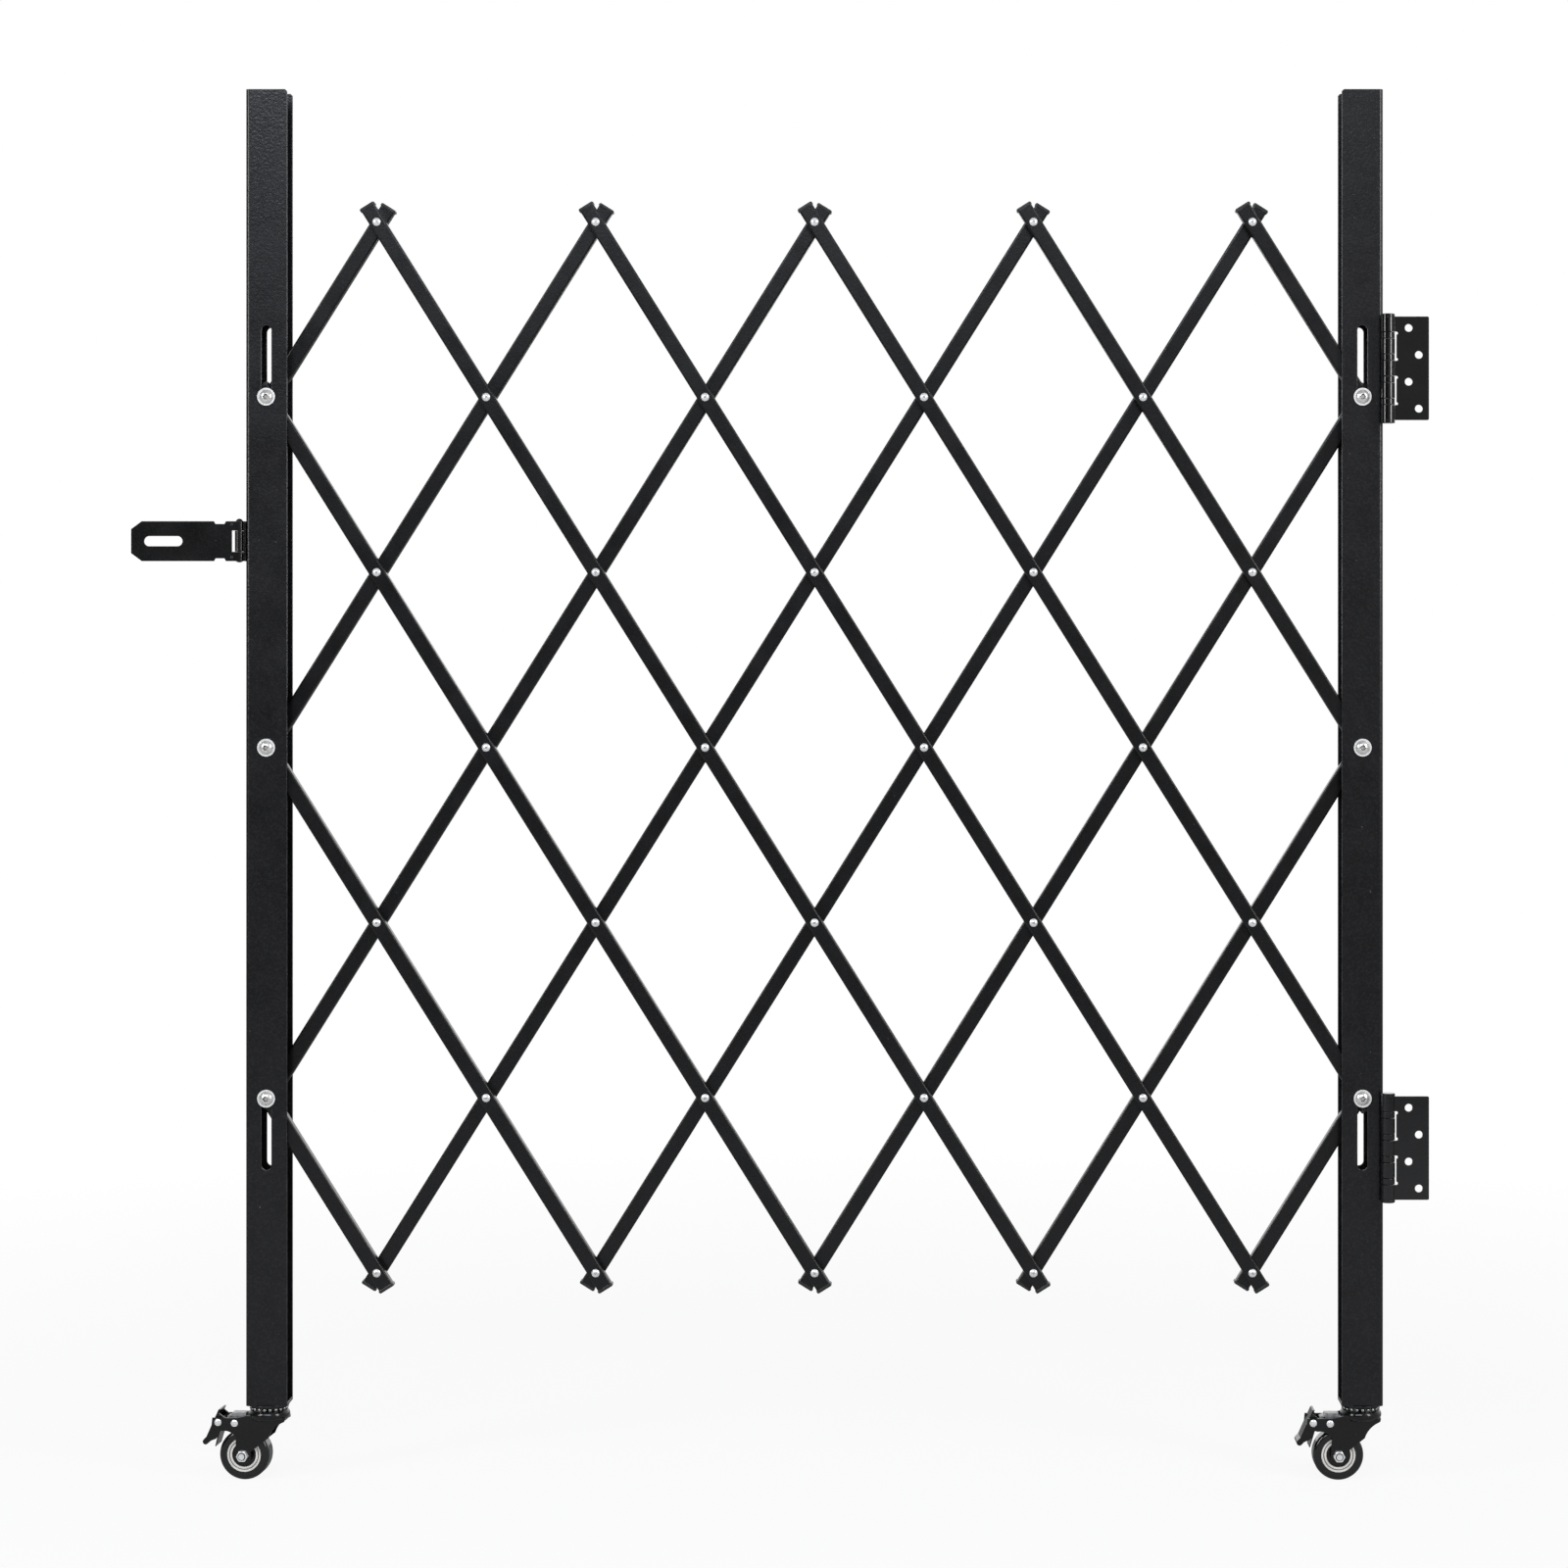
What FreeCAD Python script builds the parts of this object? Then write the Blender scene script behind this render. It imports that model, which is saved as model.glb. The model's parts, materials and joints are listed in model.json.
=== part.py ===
import FreeCAD, Part
import math
import os
from FreeCAD import Placement, Rotation, Vector

# Expandable security gate, millimetres.
# X runs along the gate from the lock post to the hinge post, -Y is the front, Z = 0 is the floor.

# Lattice
SPAN = 1083.0  # post bolts to post bolts, gate drawn out
OPEN_ANGLE = 32.0  # lean of a bar from vertical, gate drawn out, degrees
FOLDED_ANGLE = 4.5  # lean of a bar, gate pushed together, degrees
COLUMNS = 10  # half diamonds from post to post
ROWS = 6  # half diamonds from the bottom row to the top row

# Lattice bar: rectangular tube with a plastic plug in each end
BAR_WIDTH = 15.0
BAR_DEPTH = 12.0
BAR_WALL = 1.0
BAR_EDGE_RADIUS = 1.6
BAR_FREE_END = 19.5  # past the last rivet, plug included
BAR_POST_END = 14.0  # past the post bolt, plug included
LAYER_GAP = 1.0  # between the front and the back layer
PLUG_LIP = 3.0
PLUG_PROUD_WIDTH = 0.8
PLUG_PROUD_DEPTH = 0.3
PLUG_INSERT = 5.0
PLUG_BEVEL = 1.0

# Rivets of the lattice
RIVET_RADIUS = 2.5
RIVET_HEAD_RADIUS = 4.1
RIVET_HEAD_HEIGHT = 1.8
RIVET_TAIL_RADIUS = 3.8
RIVET_TAIL_HEIGHT = 1.4
RIVET_DIMPLE_RADIUS = 1.1
RIVET_DIMPLE_DEPTH = 0.5
WASHER_RIM = 3.5  # washer between the layers, past the rivet

# Running clearances
PIVOT_CLEARANCE = 0.08  # round a rivet, bolt or pin
FACE_CLEARANCE = 0.1  # between faces that turn on each other
RIVET_ROOM = 0.7  # between a rivet head and the post that it folds into

# Post bolts
BOLT_RADIUS = 4.0
BOLT_FLANGE_RADIUS = 8.75
BOLT_FLANGE_THICKNESS = 1.5
BOLT_HEAD_RADIUS = 7.0
BOLT_HEAD_HEIGHT = 3.5
BOLT_SOCKET = 5.0  # across the flats
BOLT_SOCKET_DEPTH = 2.6
BOLT_TIP = 1.5  # past the nut
BOLT_WASHER_RIM = 2.0  # washer between the layers, past the bolt
BOLT_SPACER_RADIUS = 7.0
BACK_WASHER_RADIUS = 8.0
BACK_WASHER_THICKNESS = 1.6
NUT_FLATS = 13.0
NUT_HEIGHT = 6.5
NUT_COLLAR = 1.5
NUT_BEVEL_ANGLE = 30.0

# Posts: channels, open towards the lattice
POST_WIDTH = 41.0
POST_WALL = 1.5
POST_BEND_RADIUS = 4.0
POST_CORNER = 2.0
POST_MARGIN = 19.9  # above and below the folded lattice
SLOT_WIDTH = 10.0
SLOT_SPARE = 5.0  # travel left when the lattice is folded
POST_HOLE_CLEARANCE = 0.3
FOOT_PLATE = 3.0

# Hinges: two ball-bearing butt hinges
UPPER_HINGE_RISE = 374.0  # centre, above the middle row
LOWER_HINGE_DROP = 394.0  # centre, below the middle row
LEAF_HEIGHT = 102.0
LEAF_REACH = 40.0  # pin axis to the leaf's edge
LEAF_THICKNESS = 2.5
LEAF_CORNER = 1.5
PIN_TO_FACE = 3.5  # pin axis to the leaf's mounting face
BARREL_RADIUS = 7.0
BARREL_ROOM = 0.5  # barrel to the post's front
BARREL_CAP = 2.8
BARREL_CAP_BEVEL = 0.6
KNUCKLES = 5
RING_HEIGHT = 7.0
RING_STEP = 0.2  # ring radius below the barrel radius
RING_ROOM = 0.3  # ring to knuckle
RING_BEVEL = 0.5
PIN_RADIUS = 3.2
LEAF_GAP = 1.0  # barrel to the leaf beside another leaf's knuckle
NOTCH_RADIUS = 1.5
SCREW_HOLE_RADIUS = 3.8
SCREWS = 4
SCREW_PITCH = 26.5
SCREW_NEAR = 20.0  # from the pin axis
SCREW_FAR = 30.0

# Hasp on the lock post
HASP_RISE = 204.0  # centre, above the middle row
HASP_LENGTH = 106.2  # pin axis to tip
HASP_WIDTH = 39.4
HASP_SHEET = 2.0
HASP_TIP_LENGTH = 10.5
HASP_TIP_DROP = 7.8
HASP_SLOT_LENGTH = 38.0
HASP_SLOT_WIDTH = 10.0
HASP_SLOT_REACH = 74.4  # pin axis to the slot's centre
HASP_NOTCH_START = 12.5
HASP_NOTCH_LENGTH = 12.0
HASP_NOTCH_DEPTH = 2.7
HASP_NOTCH_SLANT = 1.5
HASP_BARREL_RADIUS = 4.5
HASP_PIN_RADIUS = 2.0
HASP_PIN_HEAD_RADIUS = 3.5
HASP_PIN_HEAD = 2.6
HASP_PIN_TAIL = 1.2
HASP_PIP_RADIUS = 1.4  # bumps pressed into the strap's ears
HASP_PIP_HEIGHT = 0.6
HASP_PIP_REACH = 6.8  # from the pin axis
HASP_PIP_SPREAD = 32.6
HASP_KNUCKLE = 20.4
HASP_WINDOW = 2.1  # barrel to the strap beside the middle knuckle
HASP_GAP = 0.3  # base sheet to barrel, and between knuckles
HASP_SETBACK = 4.0  # pin axis behind the post's front
HASP_BASE_BACK = 3.0  # base sheet's edge to the post's back
HASP_RIVET_RADIUS = 2.0
HASP_RIVET_HEAD = 3.6
HASP_RIVET_HEIGHT = 1.5
HASP_RIVET_SPREAD = 24.0

# Casters
WHEEL_RADIUS = 25.0
WHEEL_WIDTH = 20.0
TYRE_SHOULDER = 4.0
RIM_RADIUS = 17.0
RIM_RING_INNER = 12.0
RIM_RING_INSET = 0.6
RIM_GROOVE_WIDTH = 1.2
RIM_GROOVE_DEPTH = 0.7
RIM_DISH = 2.4
HUB_RADIUS = 6.5
AXLE_RADIUS = 3.0
AXLE_FLATS = 10.0
AXLE_NUT = 5.0
AXLE_HEAD = 4.0
AXLE_TIP = 1.0
AXLE_NUT_LIP = 0.8  # countersink round the bolt's end
AXLE_NUT_LIP_DEPTH = 1.2
TRAIL = 23.0  # swivel axis to axle
LOCK_CASTER_TURN = -5.0  # how far the lock post's caster has swivelled, degrees
HINGE_CASTER_TURN = 0.0
FORK_SHEET = 2.0
FORK_SIDE_ROOM = 1.5  # tyre to leg
FORK_HEADROOM = 10.0  # tyre to crown
FORK_NOSE = 19.0  # crown plate, ahead of the swivel axis
FORK_TAIL = 36.0  # crown plate, behind the swivel axis
LEG_ROUND = 8.0
LEG_FRONT_ANGLE = 25.0  # where the leg's front edge meets its round foot, degrees
LEG_BACK_ANGLE = 165.0
LEG_WAIST = 1.0  # bow of the leg's front edge
NOSE_LIP = 1.0  # leg's front end, below the crown plate
NOSE_HOLLOW = 2.0
NOSE_CORNER = 4.0
SHOULDER_RUN = 9.0  # where the brake arms rise to the crown
SHOULDER_RISE = 2.7
ARMPIT_INSET = 1.0
ARMPIT_DROP = 8.25  # below the brake arm
ARMPIT_ROUND = 4.0
ARM_LENGTH = 32.0  # axle to the end of the brake arms
ARM_HEIGHT = 11.0
ARM_TAPER = 2.0
ARM_TIP_SLANT = 1.0
CROWN_RADIUS = 20.5
CROWN_HEIGHT = 7.0
CROWN_ROUND = 2.2  # bulge of the crown's rim
BALL_RADIUS = 1.9
BALL_COUNT = 20
BALL_CIRCLE = 17.2
RACE_RADIUS = 19.6
RACE_THICKNESS = 2.0
KING_RADIUS = 5.0
KING_HEAD_RADIUS = 8.0
KING_HEAD = 2.0
STEM_TIP = 2.0
STEM_NUT_FLATS = 16.0
STEM_NUT_HEIGHT = 8.0

# Caster brake
BRAKE_PIVOT_OUT = 0.3  # behind the tyre
BRAKE_PIVOT_DROP = 4.6  # below the arms' top
BRAKE_RIVET_RADIUS = 2.0
BRAKE_RIVET_HEAD = 3.6
BRAKE_RIVET_HEIGHT = 1.2
SECOND_RIVET_OUT = 8.6  # behind the axle
SECOND_RIVET_DROP = 5.2
PEDAL_SHEET = 2.0
PEDAL_SIDE_ROOM = 1.0  # pedal to fork leg
PEDAL_TIP_RISE = 12.2  # above the pivot
PEDAL_TIP_OUT = 0.2
PEDAL_KNEE_DROP = 9.4  # below the pivot
PEDAL_KNEE_OUT = 10.0
PEDAL_TOE_DROP = 15.0
PEDAL_TOE_OUT = 12.5
PEDAL_TOE_LENGTH = 4.0
PEDAL_TOE_THICKNESS = 5.8
EAR_HEAD_RISE = 9.0  # where the ear meets the foot plate
EAR_REACH = 7.9
EAR_RISE = 2.5
EAR_FOOT_REACH = 3.4
EAR_FOOT_DROP = 4.0
EAR_HEEL_REACH = 0.6
EAR_HEEL_DROP = 11.9
EAR_SOLE_OUT = 2.9
EAR_SOLE_DROP = 17.1
SHOE_TOP_DROP = 6.0
SHOE_TOP_REACH = 2.6
SHOE_DROP = 24.5
SHOE_OUT = 3.0
SHOE_POINT = 0.6
CATCH_WIDTH = 10.0
CATCH_HEIGHT = 3.8
CATCH_SHEET = 1.8
CATCH_ROOM = 1.2  # catch to crown
CATCH_LEAN = 0.8
CATCH_REACH = 5.0  # past the crown plate's edge
CATCH_DROP = 1.8

TOLERANCE = 1e-6

# Worked out from the sizes above
LEAN = math.radians(OPEN_ANGLE)
HALF_WIDTH = SPAN / COLUMNS
PIVOT_PITCH = HALF_WIDTH / math.sin(LEAN)  # rivet to rivet along a bar
HALF_HEIGHT = PIVOT_PITCH * math.cos(LEAN)
FOLDED_HALF_HEIGHT = PIVOT_PITCH * math.cos(math.radians(FOLDED_ANGLE))
LAYER_FACE = LAYER_GAP / 2 + BAR_DEPTH  # outer face of either layer, from the middle plane
POST_INNER = LAYER_FACE + RIVET_HEAD_HEIGHT + RIVET_ROOM
POST_FACE = POST_INNER + POST_WALL
POST_LENGTH = ROWS * FOLDED_HALF_HEIGHT + 2 * (BAR_FREE_END + POST_MARGIN)

AXLE_Z = WHEEL_RADIUS
CROWN_BOTTOM = 2 * WHEEL_RADIUS + FORK_HEADROOM + FORK_SHEET
CROWN_TOP = CROWN_BOTTOM + CROWN_HEIGHT
RACE_BOTTOM = CROWN_TOP + 2 * (BALL_RADIUS + FACE_CLEARANCE)
POST_BOTTOM = RACE_BOTTOM + RACE_THICKNESS
POST_TOP = POST_BOTTOM + POST_LENGTH
MIDDLE_Z = POST_BOTTOM + POST_LENGTH / 2

HINGE_PIN_X = POST_WIDTH / 2 + PIN_TO_FACE  # from the hinge post's bolts
HINGE_PIN_Y = -(POST_FACE + BARREL_ROOM + BARREL_RADIUS)
HASP_PIN_X = POST_WIDTH / 2 + HASP_SHEET + HASP_GAP + HASP_BARREL_RADIUS  # from the lock post's bolts
HASP_PIN_Y = HASP_SETBACK - POST_FACE
LATTICE_X = (HASP_PIN_X + HASP_LENGTH - HINGE_PIN_X - LEAF_REACH) / 2  # centres the whole width on X = 0
LOCK_POST_X = LATTICE_X - SPAN / 2
HINGE_POST_X = LATTICE_X + SPAN / 2
UPPER_HINGE_Z = MIDDLE_Z + UPPER_HINGE_RISE
LOWER_HINGE_Z = MIDDLE_Z - LOWER_HINGE_DROP
HASP_Z = MIDDLE_Z + HASP_RISE

LEG_INNER = WHEEL_WIDTH / 2 + FORK_SIDE_ROOM
LEG_OUTER = LEG_INNER + FORK_SHEET
BRAKE_PIVOT_X = -TRAIL - WHEEL_RADIUS - BRAKE_PIVOT_OUT  # from the swivel axis
BRAKE_PIVOT_Z = CROWN_BOTTOM - BRAKE_PIVOT_DROP
PEDAL_HALF_WIDTH = LEG_INNER - PEDAL_SIDE_ROOM


# Basic shapes
def box(x0, x1, y0, y1, z0, z1):
    return Part.makeBox(x1 - x0, y1 - y0, z1 - z0, Vector(x0, y0, z0))


def rod_y(x, z, y0, y1, radius):
    return Part.makeCylinder(radius, y1 - y0, Vector(x, y0, z), Vector(0, 1, 0))


def rod_x(x0, x1, y, z, radius):
    return Part.makeCylinder(radius, x1 - x0, Vector(x0, y, z), Vector(1, 0, 0))


def rod_z(x, y, z0, z1, radius):
    return Part.makeCylinder(radius, z1 - z0, Vector(x, y, z0), Vector(0, 0, 1))


def outline(start, *steps):
    """Closed face in the XZ plane; a step is an end point, or a (point on the arc, end point) pair."""
    edges = []
    here = Vector(start[0], 0, start[1])
    for step in steps + (start,):
        is_arc = isinstance(step[0], tuple)
        end = step[1] if is_arc else step
        there = Vector(end[0], 0, end[1])
        if is_arc:
            through = Vector(step[0][0], 0, step[0][1])
            edges.append(Part.Arc(here, through, there).toShape())
        elif there.distanceToPoint(here) > TOLERANCE:
            edges.append(Part.LineSegment(here, there).toShape())
        here = there
    return Part.Face(Part.Wire(edges))


def plate_y(face, y0, y1):
    """A face in the XZ plane thickened from y0 to y1."""
    plate = face.extrude(Vector(0, y1 - y0, 0))
    plate.translate(Vector(0, y0, 0))
    return plate


def turned(start, *steps):
    """A (radius, height) outline turned round the Z axis."""
    return outline(start, *steps).revolve(Vector(0, 0, 0), Vector(0, 0, 1), 360)


def ring(inner, outer, z0, z1):
    return turned((inner, z0), (outer, z0), (outer, z1), (inner, z1))


def hexagon(flats, z0, z1):
    corner = flats / math.sqrt(3)
    angles = [math.radians(60 * k) for k in range(7)]
    points = [Vector(corner * math.cos(a), corner * math.sin(a), z0) for a in angles]
    return Part.Face(Part.makePolygon(points)).extrude(Vector(0, 0, z1 - z0))


def nut_block(flats, z0, z1):
    """A hexagon whose corners are bevelled at its outer end, z1, which may lie above or below z0."""
    corner = flats / math.sqrt(3)
    bevel = math.copysign((corner - flats / 2) * math.tan(math.radians(NUT_BEVEL_ANGLE)), z1 - z0)
    bevelled = turned((0, z0), (corner, z0), (corner, z1 - bevel), (flats / 2, z1), (0, z1))
    return hexagon(flats, min(z0, z1), max(z0, z1)).common(bevelled)


def dome(radius, base, height):
    """A spherical cap on the Z axis, from its base up."""
    sphere_radius = (radius ** 2 + height ** 2) / (2 * height)
    half = math.asin(radius / sphere_radius) / 2
    through = (sphere_radius * math.sin(half), base + height - sphere_radius * (1 - math.cos(half)))
    return turned((0, base), (radius, base), (through, (0, base + height)))


def fused(first, *others):
    return first.fuse(list(others)).removeSplitter()


def facing_front(shape, x, z, y=0.0):
    """Lays a shape made along Z on its side, its +Z end towards the front."""
    placed = shape.copy()
    placed.Placement = Placement(Vector(x, y, z), Rotation(Vector(1, 0, 0), 90))
    return placed


def upright_edges(shape):
    def upright(edge):
        return abs(edge.tangentAt(edge.FirstParameter).z) > 0.99

    return [edge for edge in shape.Edges if upright(edge)]


def bar_block(width, depth, z0, z1, radius):
    block = box(-width / 2, width / 2, -depth / 2, depth / 2, z0, z1)
    return block.makeFillet(radius, upright_edges(block))


# Lattice
def pivot(column, row):
    x = LOCK_POST_X + column * HALF_WIDTH
    z = MIDDLE_Z + (row - ROWS / 2) * HALF_HEIGHT
    return x, z


def front_bar_pivots(number):
    """Grid points of a bar that runs down to the right, from its lower end up."""
    total = 2 * number - 1
    columns = range(min(total, COLUMNS), max(0, total - ROWS) - 1, -1)
    return [(column, total - column) for column in columns]


def back_bar_pivots(number):
    """Grid points of a bar that runs up to the right, from its lower end up."""
    difference = 2 * number - 1 - ROWS
    columns = range(max(0, difference), min(COLUMNS, ROWS + difference) + 1)
    return [(column, column - difference) for column in columns]


def on_post(point):
    return point[0] in (0, COLUMNS)


def plug(end, direction):
    """A plug in the tube's end at the height given, its lip outwards along the direction."""
    lip = bar_block(
        BAR_WIDTH + 2 * PLUG_PROUD_WIDTH, BAR_DEPTH + 2 * PLUG_PROUD_DEPTH, 0, PLUG_LIP, BAR_EDGE_RADIUS
    )
    rim = [edge for edge in lip.Edges if edge.BoundBox.ZMin > PLUG_LIP - TOLERANCE]
    lip = lip.makeChamfer(PLUG_BEVEL, rim)
    inner_width = BAR_WIDTH - 2 * (BAR_WALL + FACE_CLEARANCE)
    inner_depth = BAR_DEPTH - 2 * (BAR_WALL + FACE_CLEARANCE)
    insert = box(-inner_width / 2, inner_width / 2, -inner_depth / 2, inner_depth / 2, -PLUG_INSERT, 0)
    insert = insert.makeChamfer(BAR_WALL / 2, upright_edges(insert))
    shape = fused(lip, insert)
    if direction < 0:
        shape.rotate(Vector(0, 0, 0), Vector(1, 0, 0), 180)
    shape.translate(Vector(0, 0, end))
    return shape


def bar(points, layer):
    """A tube with its two plugs; the layer is -1 at the front and 1 at the back."""
    length = (len(points) - 1) * PIVOT_PITCH
    low_end = (BAR_POST_END if on_post(points[0]) else BAR_FREE_END) - PLUG_LIP
    high_end = (BAR_POST_END if on_post(points[-1]) else BAR_FREE_END) - PLUG_LIP
    tube = bar_block(BAR_WIDTH, BAR_DEPTH, -low_end, length + high_end, BAR_EDGE_RADIUS)
    hollow = box(
        BAR_WALL - BAR_WIDTH / 2,
        BAR_WIDTH / 2 - BAR_WALL,
        BAR_WALL - BAR_DEPTH / 2,
        BAR_DEPTH / 2 - BAR_WALL,
        -low_end,
        length + high_end,
    )
    holes = []
    for step, point in enumerate(points):
        radius = (BOLT_RADIUS if on_post(point) else RIVET_RADIUS) + PIVOT_CLEARANCE
        holes.append(rod_y(0, step * PIVOT_PITCH, -BAR_DEPTH, BAR_DEPTH, radius))
    tube = tube.cut([hollow] + holes)
    x, z = pivot(*points[0])
    middle = layer * (LAYER_GAP + BAR_DEPTH) / 2
    whole = Part.makeCompound([tube, plug(-low_end, -1), plug(length + high_end, 1)])
    whole.Placement = Placement(Vector(x, middle, z), Rotation(Vector(0, 1, 0), layer * OPEN_ANGLE))
    return whole


def rivet(x, z):
    """A lattice rivet with the washer that keeps the two layers apart."""
    tail_top = -LAYER_FACE - FACE_CLEARANCE
    head = dome(RIVET_HEAD_RADIUS, LAYER_FACE, RIVET_HEAD_HEIGHT)
    top = LAYER_FACE + RIVET_HEAD_HEIGHT
    head = head.cut(rod_z(0, 0, top - RIVET_DIMPLE_DEPTH, top, RIVET_DIMPLE_RADIUS))
    shank = rod_z(0, 0, tail_top - RIVET_TAIL_HEIGHT, LAYER_FACE, RIVET_RADIUS)
    tail = ring(RIVET_RADIUS, RIVET_TAIL_RADIUS, tail_top - RIVET_TAIL_HEIGHT, tail_top)
    washer = layer_washer(RIVET_RADIUS, WASHER_RIM)
    return [facing_front(piece, x, z) for piece in (fused(head, shank, tail), washer)]


def layer_washer(shank_radius, rim):
    half = LAYER_GAP / 2 - FACE_CLEARANCE
    return ring(shank_radius + PIVOT_CLEARANCE, shank_radius + rim, -half, half)


def front_bar_rivets(number):
    pieces = []
    for point in front_bar_pivots(number):
        if not on_post(point):
            pieces += rivet(*pivot(*point))
    return Part.makeCompound(pieces)


def post_bolt(column, row):
    """A flanged button-head bolt through a post and two bars, with its spacers, washer and nut."""
    under_head = POST_FACE + FACE_CLEARANCE
    flange_top = under_head + BOLT_FLANGE_THICKNESS
    top = flange_top + BOLT_HEAD_HEIGHT
    nut_top = -under_head - BACK_WASHER_THICKNESS
    nut_bottom = nut_top - NUT_HEIGHT
    head = fused(
        rod_z(0, 0, under_head, flange_top, BOLT_FLANGE_RADIUS),
        dome(BOLT_HEAD_RADIUS, flange_top, BOLT_HEAD_HEIGHT),
        rod_z(0, 0, nut_bottom - NUT_COLLAR - BOLT_TIP, under_head, BOLT_RADIUS),
    )
    head = head.cut(hexagon(BOLT_SOCKET, top - BOLT_SOCKET_DEPTH, top))
    hole = BOLT_RADIUS + PIVOT_CLEARANCE
    nut = fused(
        nut_block(NUT_FLATS, nut_top, nut_bottom),
        rod_z(0, 0, nut_bottom - NUT_COLLAR, nut_bottom, NUT_FLATS / 2 - NUT_COLLAR / 2),
    )
    nut = nut.cut(rod_z(0, 0, nut_bottom - NUT_COLLAR, nut_top, hole))
    near = LAYER_FACE + FACE_CLEARANCE
    far = POST_INNER - FACE_CLEARANCE
    pieces = [
        head,
        ring(hole, BOLT_SPACER_RADIUS, near, far),
        layer_washer(BOLT_RADIUS, BOLT_WASHER_RIM),
        ring(hole, BOLT_SPACER_RADIUS, -far, -near),
        ring(hole, BACK_WASHER_RADIUS, nut_top, -under_head),
        nut,
    ]
    x, z = pivot(column, row)
    return Part.makeCompound([facing_front(piece, x, z) for piece in pieces])


# Posts
def slot_cut(x, z0, z1, width):
    """A round-ended slot through a whole post, between two end centres."""
    deep = POST_FACE + POST_WALL
    ends = [rod_y(x, z, -deep, deep, width / 2) for z in (z0, z1)]
    return fused(box(x - width / 2, x + width / 2, -deep, deep, z0, z1), *ends)


def channel(x):
    """The post's channel with its web on the +X side."""
    half = POST_WIDTH / 2
    outer = box(-half, half, -POST_FACE, POST_FACE, POST_BOTTOM, POST_TOP)
    bends = [edge for edge in upright_edges(outer) if edge.BoundBox.XMin > 0]
    outer = outer.makeFillet(POST_BEND_RADIUS, bends)
    inner = box(-half, half - POST_WALL, -POST_INNER, POST_INNER, POST_BOTTOM, POST_TOP)
    bends = [edge for edge in upright_edges(inner) if edge.BoundBox.XMin > 0]
    inner = inner.makeFillet(POST_BEND_RADIUS - POST_WALL, bends)
    corner = outline((-half, POST_TOP - POST_CORNER), (-half + POST_CORNER, POST_TOP), (-half, POST_TOP))
    slide_rows = ROWS / 2 - 1
    travel = slide_rows * (FOLDED_HALF_HEIGHT - HALF_HEIGHT) + SLOT_SPARE
    cuts = [inner, plate_y(corner, -POST_FACE, POST_FACE)]
    for side in (-1, 1):
        start = MIDDLE_Z + side * slide_rows * HALF_HEIGHT
        low, high = sorted((start, start + side * travel))
        cuts.append(slot_cut(0, low, high, SLOT_WIDTH))
    cuts.append(rod_y(0, MIDDLE_Z, -POST_FACE, POST_FACE, BOLT_RADIUS + POST_HOLE_CLEARANCE))
    post = outer.cut(cuts)
    post.translate(Vector(x, 0, 0))
    return post


def foot_plate(x):
    """The plate welded into the channel's lower end, which carries the caster."""
    half = POST_WIDTH / 2
    plate = box(-half, half - POST_WALL, -POST_INNER, POST_INNER, POST_BOTTOM, POST_BOTTOM + FOOT_PLATE)
    corners = [edge for edge in upright_edges(plate) if edge.BoundBox.XMin > 0]
    plate = plate.makeChamfer(POST_BEND_RADIUS - POST_WALL, corners)
    plate = plate.cut(
        rod_z(0, 0, POST_BOTTOM, POST_BOTTOM + FOOT_PLATE, KING_RADIUS + POST_HOLE_CLEARANCE)
    )
    plate.translate(Vector(x, 0, 0))
    return plate


def towards_lock_side(shape):
    """Mirrors a piece made for the hinge post on to the lock post."""
    return shape.mirror(Vector((LOCK_POST_X + HINGE_POST_X) / 2, 0, 0), Vector(1, 0, 0))


# Hinges
def knuckle_heights(number):
    """Lower and upper end of a knuckle, counted from the leaf's lower edge."""
    height = (LEAF_HEIGHT - (KNUCKLES - 1) * RING_HEIGHT) / KNUCKLES
    low = number * (height + RING_HEIGHT) - LEAF_HEIGHT / 2
    return low, low + height


def leaf(own_knuckles):
    """A hinge leaf along +X from its pin at the origin, its mounting face towards -Y."""
    half = LEAF_HEIGHT / 2
    edge_x = LEAF_REACH
    start = BARREL_RADIUS + LEAF_GAP
    sheet = box(start, edge_x, -PIN_TO_FACE, LEAF_THICKNESS - PIN_TO_FACE, -half, half)
    corners = [e for e in sheet.Edges if e.BoundBox.YLength > LEAF_THICKNESS / 2 and e.BoundBox.XMin > start]
    sheet = sheet.makeFillet(LEAF_CORNER, corners)
    pieces = []
    for number in own_knuckles:
        low, high = knuckle_heights(number)
        pieces.append(rod_z(0, 0, low, high, BARREL_RADIUS))
        pieces.append(box(0, start, -PIN_TO_FACE, LEAF_THICKNESS - PIN_TO_FACE, low, high))
    body = fused(sheet, *pieces)
    cuts = [rod_z(0, 0, -half, half, PIN_RADIUS + PIVOT_CLEARANCE)]
    for number in own_knuckles:
        low, high = knuckle_heights(number)
        for height in (low - NOTCH_RADIUS, high + NOTCH_RADIUS):
            if abs(height) < half:
                cuts.append(rod_y(start, height, -PIN_TO_FACE, LEAF_THICKNESS - PIN_TO_FACE, NOTCH_RADIUS))
    for place in range(SCREWS):
        reach = SCREW_NEAR if place % 2 else SCREW_FAR
        height = (place - (SCREWS - 1) / 2) * SCREW_PITCH
        cuts.append(rod_y(reach, height, -PIN_TO_FACE, LEAF_THICKNESS - PIN_TO_FACE, SCREW_HOLE_RADIUS))
    return body.cut(cuts)


def wall_leaf(z):
    shape = leaf(range(0, KNUCKLES, 2))
    shape.translate(Vector(HINGE_POST_X + HINGE_PIN_X, HINGE_PIN_Y, z))
    return shape


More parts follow.
